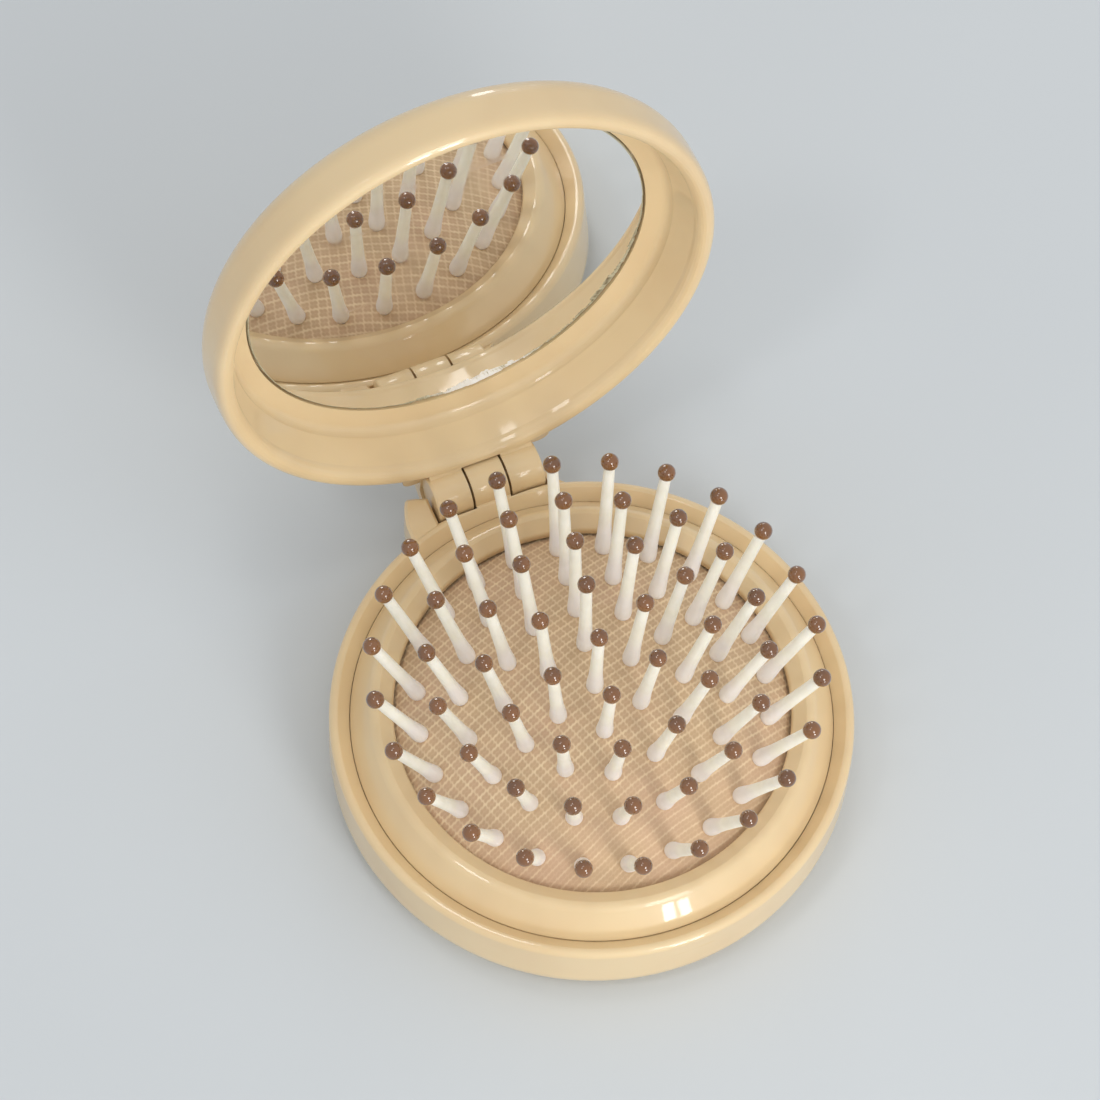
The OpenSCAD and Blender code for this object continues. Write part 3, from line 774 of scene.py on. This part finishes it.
def build_cushion_mesh(settings):
    """The whole rubber cushion: netted dome, pin holes, flange and underside, as one closed mesh."""
    outer, quads, ribs = lay_net(settings)
    count = len(outer)
    centre = np.array((0, 0, DOME_CENTRE_Z))
    plain = (outer - centre) / np.linalg.norm(outer - centre, axis=1)[:, None]
    inner = centre + plain * (DOME_RADIUS - RUBBER_THICKNESS)
    points = [*outer.tolist(), *inner.tolist()]
    faces = [*quads.tolist(), *(quads[:, ::-1] + count).tolist()]
    flange_top = FLANGE_LOW_Z + RUBBER_THICKNESS
    profile = (
        (DOME_EDGE_RADIUS + 0.00035, flange_top + 0.00075),
        (DOME_EDGE_RADIUS + 0.0006, flange_top + 0.00025),
        (DOME_EDGE_RADIUS + 0.0009, flange_top),
        (FLANGE_RADIUS - 0.0002, flange_top),
        (FLANGE_RADIUS, flange_top - 0.0002),
        (FLANGE_RADIUS, FLANGE_LOW_Z + 0.0002),
        (FLANGE_RADIUS - 0.0002, FLANGE_LOW_Z),
        (DOME_EDGE_RADIUS + 0.0003, FLANGE_LOW_Z),
        (DOME_EDGE_RADIUS - 0.0002, FLANGE_LOW_Z + 0.0003),
    )
    rims = {}
    for a, b in sorted(open_edges(quads)):
        if math.hypot(*outer[a, :2]) < DOME_EDGE_RADIUS - 1e-5:
            faces.append((b, a, a + count, b + count))
            continue
        for corner in (a, b):
            if corner not in rims:
                x, y = outer[corner, :2] / np.hypot(*outer[corner, :2])
                rims[corner] = [corner, *range(len(points), len(points) + len(profile)), corner + count]
                points.extend((x * r, y * r, z) for r, z in profile)
        for low in range(len(profile) + 1):
            faces.append((rims[b][low], rims[a][low], rims[a][low + 1], rims[b][low + 1]))
    mesh = bpy.data.meshes.new("rubber_cushion")
    mesh.from_pydata(points, [], faces)
    rib = mesh.attributes.new("rib", "FLOAT", "POINT")
    rib.data.foreach_set("value", [*ribs.tolist(), *[0.0] * (len(points) - count)])
    mesh.validate()
    mesh.shade_smooth()
    mesh.set_sharp_from_angle(angle=math.radians(60))
    return mesh


class HAIRBRUSH_OT_cushion(bpy.types.Operator):
    """Builds the domed rubber cushion with its embossed net and its pin holes"""

    bl_idname = "hairbrush.cushion"
    bl_label = "Rubber Cushion"

    def execute(self, context):
        settings = context.scene.hairbrush_cushion
        cushion = bpy.data.objects.new("rubber_cushion", build_cushion_mesh(settings))
        context.scene.collection.objects.link(cushion)
        cushion.data.materials.append(
            build_net_rubber(settings, shared_group("Moulded Skin", build_moulded_skin))
        )
        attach(cushion, "base")
        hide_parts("cushion")
        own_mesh(cushion)
        return {"FINISHED"}


def open_lid(points):
    """Turns points of the shut lid to where the open lid has them."""
    hinge = Matrix.Translation((0, HINGE_Y, HINGE_Z))
    turned = hinge @ Matrix.Rotation(-OPEN_ANGLE, 4, "X") @ hinge.inverted()
    return [turned @ Vector(p) for p in points]


def ragged_line(random, count, patch, low, high):
    """Values round a closed line that jump from patch to patch, with a little jitter inside each."""
    values, at = np.zeros(count), 0
    while at < count:
        step = int(random.integers(*patch))
        values[at : at + step] = random.uniform(low, high)
        at += step
    return values + random.uniform(-0.12, 0.12, count) * (high - low)


def worn_share(turns, middle, half, share):
    """How worn the border is round the mirror: a share that falls off either side of a direction."""
    return share * np.exp(-(((turns - math.radians(middle)) / math.radians(half)) ** 2))


def build_mirror_mesh(settings):
    """The mirror: one flat face, a border chipped towards the hinge, a cut edge and a back."""
    random = np.random.default_rng(settings.chip_seed)
    count = MIRROR_STEPS
    turns = np.arange(count) * 2 * math.pi / count
    ground_glint, chipped = (
        sum(worn_share(turns, *stretch) for stretch in kind) for kind in (GROUND_GLINT_STRETCH, CHIPPED_STRETCH)
    )
    worn = np.clip(ground_glint + chipped, 0, 1)
    ragged = np.maximum(ragged_line(random, count, (4, 16), 0.35, 1.0).clip(0, 1), 0.75 * ground_glint)
    reach = settings.border + settings.chip_reach * worn * ragged
    middle = reach * ragged_line(random, count, (3, 12), 0.35, 0.75).clip(0.2, 0.85)
    dip = settings.chip_depth * ragged_line(random, count, (3, 12), 0.1, 0.7).clip(0, 1) * (0.2 + 0.8 * worn)
    drop = settings.chip_depth * ragged_line(random, count, (3, 12), 0.4, 1.0).clip(0.2, 1.1)
    rings = (
        (MIRROR_RADIUS - reach, np.full(count, MIRROR_FACE_Z)),
        (MIRROR_RADIUS - middle, MIRROR_FACE_Z + dip),
        (np.full(count, MIRROR_RADIUS), MIRROR_FACE_Z + drop),
        (np.full(count, MIRROR_RADIUS), np.full(count, MIRROR_BACK_Z)),
    )
    tones = []
    for _ in rings:
        # White flakes along the ground stretch: ground glass, partly a painted glint
        white = 0.95 * ground_glint * ragged_line(random, count, (3, 14), 0.2, 1.1).clip(0, 1)
        holes = chipped * (ragged_line(random, count, (5, 18), 0.0, 1.0) > 0.72)
        speckle = random.uniform(-1, 1, count) * (0.06 + 0.25 * ground_glint)
        tones.append(np.clip(0.32 + white - 0.5 * holes + speckle, 0, 1))
    points = [
        (r * math.cos(a), r * math.sin(a), z) for radii, heights in rings for r, z, a in zip(radii, heights, turns)
    ]
    faces, finishes = [list(range(count))[::-1]], [0]
    for ring in range(len(rings) - 1):
        for k in range(count):
            a, b = ring * count + k, ring * count + (k + 1) % count
            corners = (b, a, a + count, b + count)
            parts = (corners[:3], (corners[0], *corners[2:])) if ring < 2 else (corners,)
            faces += parts
            finishes += [1] * len(parts)
    faces.append([3 * count + k for k in range(count)])
    finishes.append(2)
    mesh = bpy.data.meshes.new("mirror_disc")
    mesh.from_pydata(open_lid(points), [], faces)
    mesh.polygons.foreach_set("material_index", finishes)
    ground_glint_tone = mesh.attributes.new("ground_glint", "FLOAT", "POINT")
    ground_glint_tone.data.foreach_set("value", np.concatenate(tones).tolist())
    mesh.validate()
    return mesh


class HAIRBRUSH_OT_mirror(bpy.types.Operator):
    """Builds the mirror with its chipped border, and gives the film behind it its finish"""

    bl_idname = "hairbrush.mirror"
    bl_label = "Mirror"

    def execute(self, context):
        settings = context.scene.hairbrush_mirror
        skin = shared_group("Moulded Skin", build_moulded_skin)
        film = build_white_film(skin)
        mirror = bpy.data.objects.new("mirror_disc", build_mirror_mesh(settings))
        context.scene.collection.objects.link(mirror)
        for material in (
            build_mirror_glass(settings, shared_group("Handling Marks", build_handling_marks)),
            build_broken_silver(settings),
            film,
        ):
            mirror.data.materials.append(material)
        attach(mirror, "lid")
        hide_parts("mirror")
        clothe(("mirror_adhesive",), film)
        return {"FINISHED"}


class HAIRBRUSH_OT_hinge_pin(bpy.types.Operator):
    """Gives the hinge pin its drawn steel"""

    bl_idname = "hairbrush.hinge_pin"
    bl_label = "Hinge Pin"

    def execute(self, context):
        clothe(("hinge_pin",), build_drawn_steel(shared_group("Handling Marks", build_handling_marks)))
        return {"FINISHED"}


def add_lamp(name, towards, distance, size, power, colour=(1.0, 1.0, 1.0)):
    """An area lamp that hangs in a direction from the brush and points at it."""
    lamp = bpy.data.lights.new(name, "AREA")
    lamp.shape = "RECTANGLE"
    lamp.size, lamp.size_y = size
    lamp.energy = power
    lamp.color = colour
    holder = bpy.data.objects.new(name, lamp)
    aim = Vector((0, 0.01, 0.03))
    holder.location = aim + Vector(towards).normalized() * distance
    holder.rotation_euler = (holder.location - aim).to_track_quat("Z", "Y").to_euler()
    bpy.context.scene.collection.objects.link(holder)
    return holder


def build_floor(settings):
    """A wide pale floor, faintly uneven in tone."""
    side = FLOOR_REACH
    mesh = bpy.data.meshes.new("floor")
    mesh.from_pydata([(-side, -side, 0), (side, -side, 0), (side, side, 0), (-side, side, 0)], [], [(0, 1, 2, 3)])
    material, tree, shader = start_material("floor")
    where = add_node(tree, "ShaderNodeTexCoord", (-900, 0)).outputs["Object"]
    tone = add_map(tree, (-450, 0), add_noise(tree, (-700, 0), where, 9.0, 2.0).outputs["Fac"], 0.3, 0.7)
    floor_colour = Vector(settings.floor_colour)
    colour = add_mix(tree, (-200, 0), tone.outputs[0], tuple(floor_colour * 0.97), tuple(floor_colour))
    tree.links.new(colour.outputs[2], shader.inputs["Base Color"])
    set_shader(shader, Roughness=0.85, Specular_IOR_Level=0.2)
    mesh.materials.append(material)
    floor = bpy.data.objects.new("floor", mesh)
    bpy.context.scene.collection.objects.link(floor)


def build_sky(settings):
    """Soft light from all round, a little more of it from the front.

    The camera, metal and gloss see a plain backdrop in the floor's colour instead.
    """
    world = bpy.data.worlds.new("studio")
    world.use_nodes = True
    tree = world.node_tree
    light = tree.nodes["Background"]
    light.inputs["Color"].default_value = (0.985, 0.99, 1.0, 1.0)
    where = add_node(tree, "ShaderNodeTexCoord", (-900, 0)).outputs["Generated"]
    front = add_node(tree, "ShaderNodeVectorMath", (-700, 0), operation="DOT_PRODUCT")
    front.inputs[1].default_value = SKY_FRONT
    tree.links.new(where, front.inputs[0])
    weakest, strongest = (share * settings.sky_strength for share in SKY_SHARES)
    level = add_map(tree, (-500, 0), front.outputs["Value"], *SKY_FACING, weakest, strongest)
    tree.links.new(level.outputs[0], light.inputs["Strength"])
    backdrop = add_node(tree, "ShaderNodeBackground", (0, -150))
    backdrop.inputs["Color"].default_value = (*settings.floor_colour, 1.0)
    rays = add_node(tree, "ShaderNodeLightPath", (-600, 300))
    seen = add_math(tree, (-300, 300), "MAXIMUM", rays.outputs["Is Camera Ray"], rays.outputs["Is Glossy Ray"])
    seen = add_math(tree, (-100, 300), "MAXIMUM", seen.outputs[0], rays.outputs["Is Transmission Ray"])
    either = add_node(tree, "ShaderNodeMixShader", (250, 0))
    tree.links.new(seen.outputs[0], either.inputs[0])
    tree.links.new(light.outputs[0], either.inputs[1])
    tree.links.new(backdrop.outputs[0], either.inputs[2])
    tree.links.new(either.outputs[0], tree.nodes["World Output"].inputs["Surface"])
    bpy.context.scene.world = world


def aim_camera(settings):
    """The camera at the photograph's viewing angle."""
    camera_data = bpy.data.cameras.new("camera")
    camera_data.lens = settings.focal_length
    camera_data.clip_start = 0.05
    camera_data.clip_end = 30
    camera = bpy.data.objects.new("camera", camera_data)
    turned = (
        Matrix.Rotation(settings.camera_turn, 4, "Z")
        @ Matrix.Rotation(math.pi / 2 - settings.camera_rise, 4, "X")
        @ Matrix.Rotation(settings.camera_roll, 4, "Z")
    )
    aside = Vector((-0.00538, 0.02759, settings.camera_distance))
    camera.matrix_world = Matrix.Translation(turned @ aside) @ turned
    bpy.context.scene.collection.objects.link(camera)
    bpy.context.scene.camera = camera


class HAIRBRUSH_OT_studio(bpy.types.Operator):
    """Sets up the camera, the lamps and the floor"""

    bl_idname = "hairbrush.studio"
    bl_label = "Studio"

    def execute(self, context):
        settings = context.scene.hairbrush_studio
        aim_camera(settings)
        build_floor(settings)
        build_sky(settings)
        add_lamp(*WINDOW, settings.window_power, WINDOW_COLOUR)
        for name, towards, distance, size, power in SMALL_LAMPS:
            add_lamp(name, towards, distance, size, power)
        context.scene.view_settings.view_transform = "Standard"
        return {"FINISHED"}


class HAIRBRUSH_PT_finish(bpy.types.Panel):
    """Lists the brush's pieces and their settings"""

    bl_label = "Folding Hairbrush"
    bl_idname = "HAIRBRUSH_PT_finish"
    bl_space_type = "VIEW_3D"
    bl_region_type = "UI"
    bl_category = "Hairbrush"

    def draw(self, context):
        for operator, holder in PIECES:
            box = self.layout.box()
            box.operator(operator.bl_idname)
            if holder:
                settings = getattr(context.scene, holder)
                for name in settings.__annotations__:
                    box.prop(settings, name)


SETTINGS = {
    "hairbrush_case": CasePlastic,
    "hairbrush_cushion": RubberCushion,
    "hairbrush_pins": PinFinish,
    "hairbrush_mirror": LidMirror,
    "hairbrush_studio": Studio,
}
PIECES = (
    (HAIRBRUSH_OT_case, "hairbrush_case"),
    (HAIRBRUSH_OT_cushion, "hairbrush_cushion"),
    (HAIRBRUSH_OT_pins, "hairbrush_pins"),
    (HAIRBRUSH_OT_mirror, "hairbrush_mirror"),
    (HAIRBRUSH_OT_hinge_pin, None),
    (HAIRBRUSH_OT_studio, "hairbrush_studio"),
)


def register():
    """Makes the settings, the operators and the panel known."""
    for name, group in SETTINGS.items():
        bpy.utils.register_class(group)
        setattr(bpy.types.Scene, name, bpy.props.PointerProperty(type=group))
    for operator, _ in PIECES:
        bpy.utils.register_class(operator)
    bpy.utils.register_class(HAIRBRUSH_PT_finish)


def unregister():
    """Takes the settings, the operators and the panel away again."""
    bpy.utils.unregister_class(HAIRBRUSH_PT_finish)
    for operator, _ in reversed(PIECES):
        bpy.utils.unregister_class(operator)
    for name, group in reversed(SETTINGS.items()):
        delattr(bpy.types.Scene, name)
        bpy.utils.unregister_class(group)


def main():
    """Dresses the frame piece by piece."""
    register()
    bpy.ops.hairbrush.case()
    bpy.ops.hairbrush.cushion()
    bpy.ops.hairbrush.pins()
    bpy.ops.hairbrush.mirror()
    bpy.ops.hairbrush.hinge_pin()
    bpy.ops.hairbrush.studio()


if __name__ == "__main__":
    main()
